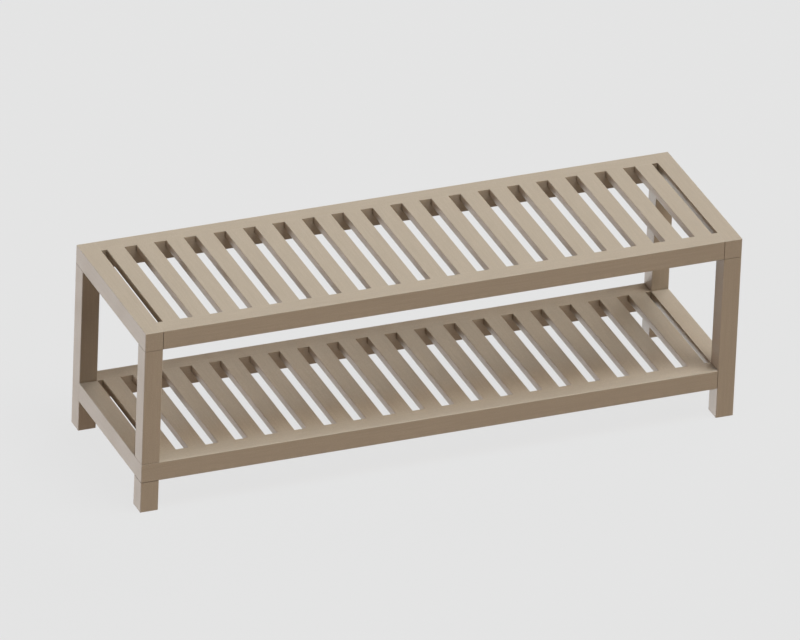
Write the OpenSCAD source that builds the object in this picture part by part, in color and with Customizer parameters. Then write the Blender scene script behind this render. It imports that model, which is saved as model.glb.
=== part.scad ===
// Entryway bench: a slatted seat over a slatted shoe shelf, in painted wood.
// Origin: floor level, under the middle of the bench. X runs along its length
// (left to right), Y from its front (-Y) to its back (+Y), and Z is up.

/* [Overall size] */
// Length of the bench, over the end rails
bench_length = 1524; // [1300:1:1830]
// Depth of the bench, front to back
bench_depth = 462; // [380:1:560]
// Height of the seat above the floor
bench_height = 483; // [400:1:580]

/* [Frame] */
// Width of the square leg stock, which the rails are cut from as well
stock_width = 45.5; // [38:0.5:56]
// Height of every rail
rail_height = 49.5; // [44:0.5:64]
// Height of the shelf's top above the floor
shelf_height = 130; // [100:1:200]
// Bevel on the outer edges of the legs and rails
edge_ease = 1.2; // [0.4:0.1:2.5]

/* [Slats] */
// Number of slats on each deck
slat_count = 19; // [15:1:20]
// Width of a slat
slat_width = 44.5; // [30:0.5:54]
// Thickness of a slat
slat_thickness = 19; // [15:0.5:24]
// Gap between an end rail and the slat next to it
end_gap = 15; // [5:0.5:25]
// Bevel on the long edges of a slat
slat_ease = 1; // [0.4:0.1:2]

/* [Joinery] */
// Length of the stub tenon on each end of a slat
tenon_length = 14; // [8:1:17]
// Thickness of that tenon
tenon_thickness = 9; // [6:0.5:10]
// Shoulder on each side of that tenon
tenon_shoulder = 5; // [3:0.5:8]
// Gap all round a tenon in its mortise
mortise_clearance = 0.15; // [0.05:0.05:0.3]
// Diameter of the dowels
dowel_diameter = 8; // [6:1:9]
// Length of the dowels
dowel_length = 40; // [30:1:42]
// Gap between a dowel and the side of its hole
dowel_clearance = 0.05; // [0.02:0.01:0.15]
// Distance between the two dowels of a joint
dowel_spacing = 20; // [18:1:22]
// How much lower the long rails' dowels sit than the end rails' dowels
dowel_stagger = 10; // [10:0.5:11]
// Distance of the leg-top dowels from the outer face of the leg
leg_dowel_inset = 15; // [10:0.5:17]
// Room for glue behind a tenon or a dowel
glue_space = 1; // [0.5:0.1:1.5]
// Depth that the shelf rails are let into the front left leg
lap_depth = 15; // [8:0.5:16]
// Gap above and below the rails in that leg's notch
lap_clearance = 0.5; // [0.2:0.1:1]
// Width of the shadow line where a long rail butts against its neighbour
seam_width = 0.6; // [0.3:0.1:1.2]
// Depth of that shadow line
seam_depth = 2.5; // [1:0.5:4]

/* [Hidden] */
$fn = 48;

// Left and right, and front and back, as signs
SIDES = [-1, 1];
// How far a cutter runs past the face that it opens
overcut = 5;

half_length = bench_length / 2;
half_depth = bench_depth / 2;
inner_half_length = half_length - stock_width;
inner_half_depth = half_depth - stock_width;
half_stock = stock_width / 2;
leg_height = bench_height - rail_height;
shelf_bottom = shelf_height - rail_height;

slat_length = 2 * inner_half_depth;
tenon_width = slat_width - 2 * tenon_shoulder;
mortise_width = tenon_width + 2 * mortise_clearance;
mortise_depth = tenon_length + glue_space;
mortise_height = tenon_thickness + 2 * mortise_clearance;
first_slat_x = -inner_half_length + end_gap + slat_width / 2;
slat_pitch = -2 * first_slat_x / (slat_count - 1);

// Heights of a joint's two dowels, counted from the middle of the rail
long_rail_levels = [for (side = SIDES) (side * dowel_spacing - dowel_stagger) / 2];
end_rail_levels = [for (side = SIDES) (side * dowel_spacing + dowel_stagger) / 2];
dowel_tip = dowel_diameter / 8;

paint = [0.66, 0.60, 0.52];
raw_wood = "burlywood";

function slat_x(index) = first_slat_x + index * slat_pitch;
function two_digits(number) = str(number < 10 ? "0" : "", number);
function slat_name(deck, index) = str(deck, "_slat_", two_digits(index + 1));
function slat_names(deck) = [for (index = [0 : slat_count - 1]) slat_name(deck, index)];

// ---------------------------------------------------------------- sections

// A rectangle from the origin. Each corner is bevelled by its own amount, in
// the order bottom left, bottom right, top right, top left.
module eased_rectangle(width, height, ease) {
    polygon([
        [0, ease[0]],
        [ease[0], 0],
        [width - ease[1], 0],
        [width, ease[1]],
        [width, height - ease[2]],
        [width - ease[2], height],
        [ease[3], height],
        [0, height - ease[3]]
    ]);
}

// A rectangle with all four corners bevelled alike
module evenly_eased(width, height, ease) {
    eased_rectangle(width, height, [ease, ease, ease, ease]);
}

// Extrudes a section drawn in Y and Z along +X
module extrude_x(length) {
    rotate([90, 0, 90])
        linear_extrude(length)
            children();
}

// Extrudes a section drawn in X and Z along +Y
module extrude_y(length) {
    translate([0, length, 0])
        rotate([90, 0, 0])
            linear_extrude(length)
                children();
}

// The section of a rail, from its outer face inwards. Its two outer edges are
// bevelled and its two inner edges are square, where the slats meet them.
module rail_section() {
    eased_rectangle(stock_width, rail_height, [edge_ease, 0, 0, edge_ease]);
}

// ---------------------------------------------------------------- joints

module dowel() {
    rotate_extrude()
        polygon([
            [0, -dowel_length / 2],
            [dowel_diameter / 2 - dowel_tip, -dowel_length / 2],
            [dowel_diameter / 2, -dowel_length / 2 + dowel_tip],
            [dowel_diameter / 2, dowel_length / 2 - dowel_tip],
            [dowel_diameter / 2 - dowel_tip, dowel_length / 2],
            [0, dowel_length / 2]
        ]);
}

// Both halves of a dowel's hole, with room for glue at the upper end
module dowel_hole() {
    translate([0, 0, -dowel_length / 2])
        cylinder(d = dowel_diameter + 2 * dowel_clearance, h = dowel_length + glue_space);
}

// Where a seat end rail sits on the top of a leg
module at_leg_tops() {
    for (side = SIDES)
        for (face = SIDES)
            for (step = SIDES)
                translate([
                    side * (half_length - leg_dowel_inset),
                    face * (half_depth - half_stock) + step * dowel_spacing / 2,
                    leg_height
                ])
                    rotate([180, 0, 0])
                        children();
}

// Where a long rail butts against an end rail or a leg, on the deck whose
// rails have their bottom at the given height
module at_long_rail_ends(rail_bottom) {
    for (side = SIDES)
        for (face = SIDES)
            for (level = long_rail_levels)
                translate([
                    side * inner_half_length,
                    face * (half_depth - half_stock),
                    rail_bottom + rail_height / 2 + level
                ])
                    rotate([0, -90 * side, 0])
                        children();
}

// Where an end rail of the shelf butts against a leg
module at_shelf_end_rail_ends() {
    for (side = SIDES)
        for (face = SIDES)
            for (level = end_rail_levels)
                translate([
                    side * (half_length - half_stock),
                    face * inner_half_depth,
                    shelf_bottom + rail_height / 2 + level
                ])
                    rotate([90 * face, 0, 0])
                        children();
}

// The mortises of the front rail, on the deck whose top is at the given height
module front_mortises(deck_top) {
    for (index = [0 : slat_count - 1])
        translate([
            slat_x(index) - mortise_width / 2,
            -inner_half_depth - mortise_depth,
            deck_top - slat_thickness / 2 - mortise_height / 2
        ])
            cube([mortise_width, mortise_depth + overcut, mortise_height]);
}

// The shadow line down the outer face of a front rail, at its right end
module front_right_seam(rail_bottom) {
    translate([inner_half_length - seam_width, -half_depth - overcut, rail_bottom - overcut])
        cube([seam_width + overcut, seam_depth + overcut, rail_height + 2 * overcut]);
}

// The plan of the whole bench, with the legs' outer corners bevelled
module bench_plan(bottom, height) {
    translate([-half_length, -half_depth, bottom])
        linear_extrude(height)
            evenly_eased(bench_length, bench_depth, edge_ease);
}

// ---------------------------------------------------------------- legs

// The front left leg before it is notched. Its foot is bevelled all round,
// and its top is square under the seat's end rail.
module plain_leg() {
    foot_ease = [edge_ease, edge_ease, 0, 0];
    difference() {
        translate([-half_length, -half_depth, 0])
            intersection() {
                linear_extrude(leg_height)
                    evenly_eased(stock_width, stock_width, edge_ease);
                extrude_x(stock_width)
                    eased_rectangle(stock_width, leg_height, foot_ease);
                extrude_y(stock_width)
                    eased_rectangle(stock_width, leg_height, foot_ease);
            }
        at_leg_tops()
            dowel_hole();
        at_long_rail_ends(shelf_bottom)
            dowel_hole();
        at_shelf_end_rail_ends()
            dowel_hole();
    }
}

// The notch round the outer corner of the front left leg, which takes the
// thinned ends of the two shelf rails
module leg_notch() {
    notch_height = rail_height + 2 * lap_clearance;
    notch_reach = stock_width + 2 * overcut;
    translate([-half_length - overcut, -half_depth - overcut, shelf_bottom - lap_clearance]) {
        cube([lap_depth + overcut, notch_reach, notch_height]);
        cube([notch_reach, lap_depth + overcut, notch_height]);
    }
}

module leg_front_left() {
    color(paint)
        difference() {
            plain_leg();
            leg_notch();
        }
}

module leg_front_right() {
    color(paint)
        mirror([1, 0, 0])
            plain_leg();
}

module leg_back_left() {
    color(paint)
        mirror([0, 1, 0])
            plain_leg();
}

module leg_back_right() {
    color(paint)
        mirror([1, 0, 0])
            mirror([0, 1, 0])
                plain_leg();
}

// ---------------------------------------------------------------- seat rails

// An end rail of the seat runs the full depth and rests on two legs
module seat_end_rail_left() {
    color(paint)
        difference() {
            translate([-half_length, -half_depth, leg_height])
                intersection() {
                    extrude_y(bench_depth)
                        rail_section();
                    linear_extrude(rail_height)
                        evenly_eased(stock_width, bench_depth, edge_ease);
                    extrude_x(stock_width)
                        evenly_eased(bench_depth, rail_height, edge_ease);
                }
            at_leg_tops()
                dowel_hole();
            at_long_rail_ends(leg_height)
                dowel_hole();
        }
}

module seat_end_rail_right() {
    mirror([1, 0, 0])
        seat_end_rail_left();
}

// A long rail of the seat fits between the two end rails
module seat_front_rail() {
    color(paint)
        difference() {
            translate([-inner_half_length, -half_depth, leg_height])
                extrude_x(2 * inner_half_length)
                    rail_section();
            front_mortises(bench_height);
            at_long_rail_ends(leg_height)
                dowel_hole();
            front_right_seam(leg_height);
            mirror([1, 0, 0])
                front_right_seam(leg_height);
        }
}

module seat_back_rail() {
    mirror([0, 1, 0])
        seat_front_rail();
}

// ---------------------------------------------------------------- shelf rails

// The right end rail of the shelf fits between two legs
module shelf_end_rail_right() {
    color(paint)
        mirror([1, 0, 0])
            difference() {
                translate([-half_length, -inner_half_depth, shelf_bottom])
                    extrude_y(slat_length)
                        rail_section();
                at_shelf_end_rail_ends()
                    dowel_hole();
            }
}

// The left end rail of the shelf also runs forward round the front left leg,
// thinned to fit its notch, and is mitred against the front rail
module shelf_end_rail_left() {
    color(paint)
        difference() {
            intersection() {
                translate([-half_length, -half_depth, shelf_bottom])
                    extrude_y(bench_depth)
                        rail_section();
                translate([0, 0, shelf_bottom])
                    linear_extrude(rail_height)
                        polygon([
                            [-half_length, -half_depth],
                            [-half_length + lap_depth, -half_depth + lap_depth],
                            [-half_length + lap_depth, -inner_half_depth],
                            [-inner_half_length, -inner_half_depth],
                            [-inner_half_length, inner_half_depth],
                            [-half_length, inner_half_depth]
                        ]);
                bench_plan(shelf_bottom, rail_height);
            }
            at_shelf_end_rail_ends()
                dowel_hole();
        }
}

// The front rail of the shelf runs round the front left leg in the same way,
// and butts against the front right leg
module shelf_front_rail() {
    color(paint)
        difference() {
            intersection() {
                translate([-half_length, -half_depth, shelf_bottom])
                    extrude_x(bench_length)
                        rail_section();
                translate([0, 0, shelf_bottom])
                    linear_extrude(rail_height)
                        polygon([
                            [-half_length, -half_depth],
                            [inner_half_length, -half_depth],
                            [inner_half_length, -inner_half_depth],
                            [-inner_half_length, -inner_half_depth],
                            [-inner_half_length, -half_depth + lap_depth],
                            [-half_length + lap_depth, -half_depth + lap_depth]
                        ]);
                bench_plan(shelf_bottom, rail_height);
            }
            front_mortises(shelf_height);
            at_long_rail_ends(shelf_bottom)
                dowel_hole();
            front_right_seam(shelf_bottom);
        }
}

// The back rail of the shelf fits between the two back legs
module shelf_back_rail() {
    color(paint)
        mirror([0, 1, 0])
            difference() {
                translate([-inner_half_length, -half_depth, shelf_bottom])
                    extrude_x(2 * inner_half_length)
                        rail_section();
                front_mortises(shelf_height);
                at_long_rail_ends(shelf_bottom)
                    dowel_hole();
                front_right_seam(shelf_bottom);
                mirror([1, 0, 0])
                    front_right_seam(shelf_bottom);
            }
}

// ---------------------------------------------------------------- slats

// A slat lies flush with the rails and has a stub tenon on each end
module slat(index, deck_top) {
    color(paint)
        union() {
            translate([slat_x(index) - slat_width / 2, -inner_half_depth, deck_top - slat_thickness])
                extrude_y(slat_length)
                    evenly_eased(slat_width, slat_thickness, slat_ease);
            translate([
                slat_x(index) - tenon_width / 2,
                -inner_half_depth - tenon_length,
                deck_top - slat_thickness / 2 - tenon_thickness / 2
            ])
                cube([tenon_width, slat_length + 2 * tenon_length, tenon_thickness]);
        }
}

// ---------------------------------------------------------------- dowels

module leg_top_dowels() {
    color(raw_wood)
        at_leg_tops()
            dowel();
}

module seat_rail_dowels() {
    color(raw_wood)
        at_long_rail_ends(leg_height)
            dowel();
}

module shelf_long_rail_dowels() {
    color(raw_wood)
        at_long_rail_ends(shelf_bottom)
            dowel();
}

module shelf_end_rail_dowels() {
    color(raw_wood)
        at_shelf_end_rail_ends()
            dowel();
}

// ---------------------------------------------------------------- assembly

leg_front_left();
leg_front_right();
leg_back_left();
leg_back_right();
seat_end_rail_left();
seat_end_rail_right();
seat_front_rail();
seat_back_rail();
for (index = [0 : slat_count - 1])
    slat(index, bench_height);
shelf_end_rail_left();
shelf_end_rail_right();
shelf_front_rail();
shelf_back_rail();
for (index = [0 : slat_count - 1])
    slat(index, shelf_height);
leg_top_dowels();
seat_rail_dowels();
shelf_long_rail_dowels();
shelf_end_rail_dowels();
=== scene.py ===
import math

import bmesh
import bpy
from mathutils import Matrix, Vector


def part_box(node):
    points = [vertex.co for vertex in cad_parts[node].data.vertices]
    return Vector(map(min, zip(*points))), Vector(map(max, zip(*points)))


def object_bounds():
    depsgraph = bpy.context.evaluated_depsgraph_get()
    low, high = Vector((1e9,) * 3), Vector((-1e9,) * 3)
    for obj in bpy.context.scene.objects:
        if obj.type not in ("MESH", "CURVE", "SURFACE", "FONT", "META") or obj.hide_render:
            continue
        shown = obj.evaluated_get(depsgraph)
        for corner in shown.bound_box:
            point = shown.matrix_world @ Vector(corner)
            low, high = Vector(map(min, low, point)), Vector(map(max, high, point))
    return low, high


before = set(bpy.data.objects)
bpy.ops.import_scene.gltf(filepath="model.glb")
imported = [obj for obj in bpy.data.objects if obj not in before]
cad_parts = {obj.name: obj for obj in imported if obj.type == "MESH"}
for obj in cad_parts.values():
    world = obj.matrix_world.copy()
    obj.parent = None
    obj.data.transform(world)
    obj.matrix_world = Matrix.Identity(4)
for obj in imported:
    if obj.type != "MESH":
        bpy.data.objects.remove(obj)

# Camera: millimetres, degrees and metres
LENS_MM = 649.39
SENSOR_MM = 36.0
VIEW_AZIMUTH = -22.894
VIEW_ELEVATION = 28.792
VIEW_ROLL = 2.363
VIEW_DISTANCE = 34.464
AIM_OFFSET = Vector((-0.0106, 0.0173, 0.0214))
CLIP_START = 1.0
CLIP_END = 85.0

# Stage: the floor's radius keeps it inside every view's clip distance
STAGE_RADIUS = 41.5
STAGE_GREY = 0.767
FLOOR_ALBEDO = 0.035
FLOOR_GLOW = 0.735

# Paint colours are linear
PAINT_LIGHT = (0.463, 0.388, 0.307)
PAINT_DEEP = (0.372, 0.311, 0.246)
# Lighter paint on eased edges: partly worn paint, partly a painted highlight where the edges catch the
# light
PAINT_WORN_EDGE_AND_HIGHLIGHT = (0.465, 0.405, 0.335)
# Painted shade: darker paint for joints, gaps and inner corners
PAINT_JOINT_SHADE = (0.190, 0.143, 0.100)
PAINT_GLOSS_LOW = 0.31
PAINT_GLOSS_HIGH = 0.41
WOOD_LIGHT = (0.62, 0.42, 0.23)
WOOD_DARK = (0.44, 0.27, 0.13)

# Grain noise is scaled by this along the piece
GRAIN_STRETCH = 0.045
# Noise scales, in features to the metre
DRIFT_SCALE = 5.0
STREAK_SCALE = 240.0
FIBRE_SCALE = 620.0
PEEL_SCALE = 420.0
WEAR_AND_HIGHLIGHT_SCALE = 38.0
GLOSS_SCALE = 22.0
RING_SCALE = 260.0
FLECK_SCALE = 1400.0
CLOUD_SCALE = 1.3
# Bump depths, in metres
STREAK_DEPTH = 0.00010
FIBRE_DEPTH = 0.00005
PEEL_DEPTH = 0.00006
FLECK_DEPTH = 0.00008
# Metres
EDGE_RADIUS = 0.0016
# Metres. How far the painted shade reaches into joints, gaps and inner corners. It is short, so that the
# painted shade mostly stays in the joints, and the lights shade the slots
SHADE_REACH = 0.012

# Light from all round, linear
WORLD_LIGHT = (0.142, 0.104, 0.075)


def towards(azimuth, elevation):
    """The direction from the bench to a light or camera. Azimuth 0 is the front, and 90 the right end."""
    a, e = math.radians(azimuth), math.radians(elevation)
    return Vector((math.sin(a) * math.cos(e), -math.cos(a) * math.cos(e), math.sin(e)))


def make_camera(low, high):
    data = bpy.data.cameras.new("camera")
    data.lens = LENS_MM
    data.sensor_width = SENSOR_MM
    data.sensor_fit = "HORIZONTAL"
    data.clip_start, data.clip_end = CLIP_START, CLIP_END
    camera = bpy.data.objects.new("camera", data)
    bpy.context.scene.collection.objects.link(camera)
    back = towards(VIEW_AZIMUTH, VIEW_ELEVATION)
    level = Vector((0, 0, 1)).cross(back).normalized()
    rise = back.cross(level)
    roll = math.radians(VIEW_ROLL)
    right = level * math.cos(roll) + rise * math.sin(roll)
    up = rise * math.cos(roll) - level * math.sin(roll)
    place = (low + high) / 2 + AIM_OFFSET + back * VIEW_DISTANCE
    camera.matrix_world = Matrix.Translation(place) @ Matrix((right, up, back)).transposed().to_4x4()
    bpy.context.scene.camera = camera


class Graph:
    """A material's nodes. An input is a value, or another node's output to link."""

    def __init__(self, name):
        self.material = bpy.data.materials.new(name)
        self.material.use_nodes = True
        self.tree = self.material.node_tree
        self.shader = self.tree.nodes["Principled BSDF"]

    def add(self, kind, inputs=None, **settings):
        node = self.tree.nodes.new(kind)
        for key, value in settings.items():
            setattr(node, key, value)
        self.set(node, inputs or {})
        return node

    def set(self, node, inputs):
        for key, value in inputs.items():
            if isinstance(value, bpy.types.NodeSocket):
                self.tree.links.new(value, node.inputs[key])
            else:
                node.inputs[key].default_value = value

    def noise(self, vector, scale, detail=2.0, roughness=0.5):
        inputs = {"Vector": vector, "Scale": scale, "Detail": detail, "Roughness": roughness}
        return self.add("ShaderNodeTexNoise", inputs).outputs["Fac"]

    def spread(self, value, low, high, to_low=0.0, to_high=1.0):
        inputs = {"Value": value, "From Min": low, "From Max": high, "To Min": to_low, "To Max": to_high}
        return self.add("ShaderNodeMapRange", inputs).outputs["Result"]

    def mix(self, factor, first, second):
        node = self.add("ShaderNodeMix", data_type="RGBA")
        self.set(node, {0: factor, 6: first, 7: second})
        return node.outputs[2]

    def multiply(self, first, second):
        return self.add("ShaderNodeMath", {0: first, 1: second}, operation="MULTIPLY").outputs[0]

    def bump(self, height, distance, normal=None):
        inputs = {"Height": height, "Distance": distance, "Strength": 1.0}
        if normal is not None:
            inputs["Normal"] = normal
        return self.add("ShaderNodeBump", inputs).outputs["Normal"]


def opaque(colour):
    return (*colour, 1.0)


def edge_mask(graph):
    """1 on eased edges and 0 on flat faces, from how far a rounded normal leaves the real one."""
    rounded = graph.add("ShaderNodeBevel", {"Radius": EDGE_RADIUS}, samples=4).outputs["Normal"]
    flat = graph.add("ShaderNodeNewGeometry").outputs["True Normal"]
    dot = graph.add("ShaderNodeVectorMath", {0: rounded, 1: flat}, operation="DOT_PRODUCT")
    return graph.spread(dot.outputs["Value"], 0.995, 0.90)


def joint_shade_mask(graph):
    """Where shade is painted: 1 deep in joints and inner corners, and 0 where nothing is within reach."""
    inputs = {"Distance": SHADE_REACH}
    open_share = graph.add("ShaderNodeAmbientOcclusion", inputs, samples=8).outputs["AO"]
    return graph.spread(open_share, 0.75, 0.25)


def painted_wood(name, axis):
    """Satin paint on close-grained wood, whose grain runs along the given axis and just shows."""
    g = Graph(name)
    place = g.add("ShaderNodeTexCoord").outputs["Object"]
    stretch = [1.0, 1.0, 1.0]
    stretch[axis] = GRAIN_STRETCH
    along = g.add("ShaderNodeMapping", {"Vector": place, "Scale": stretch}).outputs["Vector"]

    drift = g.noise(place, DRIFT_SCALE, 3.0)
    streaks = g.noise(along, STREAK_SCALE, 4.0, 0.6)
    fibres = g.noise(along, FIBRE_SCALE, 3.0, 0.65)
    peel = g.noise(place, PEEL_SCALE, 2.0)

    colour = g.mix(g.spread(streaks, 0.34, 0.66, 0.20, 0.80), opaque(PAINT_DEEP), opaque(PAINT_LIGHT))
    colour = g.mix(g.spread(drift, 0.35, 0.65, 0.0, 0.2), colour, opaque(PAINT_DEEP))
    colour = g.mix(g.spread(peel, 0.42, 0.62, 0.0, 0.90), colour, opaque(PAINT_DEEP))
    # Eased edges get lighter paint in patches: worn paint, and also a painted highlight along the edges
    wear_and_highlight_patches = g.spread(g.noise(place, WEAR_AND_HIGHLIGHT_SCALE, 4.0), 0.38, 0.62, 0.25, 0.9)
    worn_and_highlight = g.multiply(edge_mask(g), wear_and_highlight_patches)
    colour = g.mix(worn_and_highlight, colour, opaque(PAINT_WORN_EDGE_AND_HIGHLIGHT))
    # Painted shade: darker paint deep in joints, gaps and inner corners
    colour = g.mix(joint_shade_mask(g), colour, opaque(PAINT_JOINT_SHADE))

    normal = g.bump(streaks, STREAK_DEPTH)
    normal = g.bump(fibres, FIBRE_DEPTH, normal)
    normal = g.bump(peel, PEEL_DEPTH, normal)
    sheen = g.noise(place, GLOSS_SCALE, 5.0, 0.6)
    gloss = g.spread(sheen, 0.30, 0.70, PAINT_GLOSS_LOW, PAINT_GLOSS_HIGH)
    g.set(g.shader, {"Base Color": colour, "Roughness": gloss, "Normal": normal})
    return g.material


def raw_wood(name):
    """Unpainted beech, for the dowels inside the joints."""
    g = Graph(name)
    place = g.add("ShaderNodeTexCoord").outputs["Object"]
    rings = g.noise(place, RING_SCALE, 5.0, 0.6)
    flecks = g.noise(place, FLECK_SCALE, 2.0)
    colour = g.mix(g.spread(rings, 0.35, 0.65), opaque(WOOD_LIGHT), opaque(WOOD_DARK))
    gloss = g.spread(flecks, 0.3, 0.7, 0.55, 0.75)
    g.set(g.shader, {"Base Color": colour, "Roughness": gloss, "Normal": g.bump(flecks, FLECK_DEPTH)})
    return g.material


def finish_nodes(nodes):
    """Gives every CAD node its paint, with the grain along the piece's longest side."""
    paints = [painted_wood("painted_wood_" + letter, axis) for axis, letter in enumerate("xyz")]
    bare = raw_wood("raw_wood")
    for name, piece in nodes.items():
        low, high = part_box(name)
        size = list(high - low)
        material = bare if name.endswith("dowels") else paints[size.index(max(size))]
        piece.material_slots[0].link = "OBJECT"
        piece.material_slots[0].material = material


def stage_material(name, glow):
    """Pale matt grey that mostly glows, so the bench's shadows on it stay faint."""
    g = Graph(name)
    place = g.add("ShaderNodeTexCoord").outputs["Object"]
    cloud = g.spread(g.noise(place, CLOUD_SCALE, 2.0), 0.3, 0.7)
    level = g.mix(cloud, opaque([glow * 0.999] * 3), opaque([glow * 1.001] * 3))
    g.set(g.shader, {"Base Color": opaque([FLOOR_ALBEDO] * 3), "Roughness": 1.0, "Specular IOR Level": 0.0})
    g.set(g.shader, {"Emission Color": level, "Emission Strength": 1.0})
    return g.material


def add_mesh(name, build, material):
    mesh = bpy.data.meshes.new(name)
    shape = bmesh.new()
    build(shape)
    shape.to_mesh(mesh)
    shape.free()
    mesh.materials.append(material)
    obj = bpy.data.objects.new(name, mesh)
    bpy.context.scene.collection.objects.link(obj)
    return obj


def make_stage():
    """A round floor at the feet's level, and a dome over it that only the camera sees."""
    def disc(shape):
        bmesh.ops.create_circle(shape, cap_ends=True, radius=STAGE_RADIUS, segments=128)

    def dome(shape):
        bmesh.ops.create_uvsphere(shape, u_segments=128, v_segments=64, radius=STAGE_RADIUS)

    floor = add_mesh("floor", disc, stage_material("floor_grey", FLOOR_GLOW))
    backdrop = add_mesh("backdrop", dome, stage_material("backdrop_grey", STAGE_GREY))
    for obj in (floor, backdrop):
        obj.visible_diffuse = False
        obj.visible_glossy = False
        obj.visible_transmission = False
        obj.visible_shadow = False


def sun(name, azimuth, elevation, width, colour, mirrored=True):
    """A soft light far off in one direction, as wide as the given angle.

    A light that isn't mirrored makes no highlights.
    """
    data = bpy.data.lights.new(name, "SUN")
    data.angle = math.radians(width)
    strongest = max(colour)
    data.energy = strongest * math.pi
    data.color = [part / strongest for part in colour]
    lamp = bpy.data.objects.new(name, data)
    lamp.rotation_mode = "QUATERNION"
    lamp.rotation_quaternion = towards(azimuth, elevation).to_track_quat("Z", "Y")
    lamp.visible_glossy = mirrored
    bpy.context.scene.collection.objects.link(lamp)


def make_lights():
    """Lights below the horizon stand for bounce. The floor casts no shadow, so it lets them through."""
    sun("key", 60, 72, 24, (0.339, 0.404, 0.451))
    sun("overhead", 0, 80, 24, (0.178, 0.236, 0.282))
    sun("front_key", 36, 65, 20, (0.230, 0.188, 0.139))
    sun("left_low", -100, -10, 24, (0.340, 0.424, 0.532), mirrored=False)
    sun("right_side", 67, 20, 24, (0.319, 0.291, 0.240), mirrored=False)
    sun("floor_bounce", 20, -45, 50, (0.159, 0.132, 0.106))
    sun("back_right", 130, 35, 24, (0.242, 0.245, 0.242))
    sun("back_low", 150, 5, 40, (0.103, 0.074, 0.046))
    sun("left_side", -80, 15, 30, (0.277, 0.241, 0.227), mirrored=False)
    sun("left_bounce", -126, -28, 18, (0.474, 0.506, 0.551))
    world = bpy.data.worlds.new("world")
    world.use_nodes = True
    world.node_tree.nodes["Background"].inputs["Color"].default_value = opaque(WORLD_LIGHT)
    bpy.context.scene.world = world
    bpy.context.scene.view_settings.view_transform = "Standard"


cad_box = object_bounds()
make_camera(*cad_box)
finish_nodes(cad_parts)
make_stage()
make_lights()
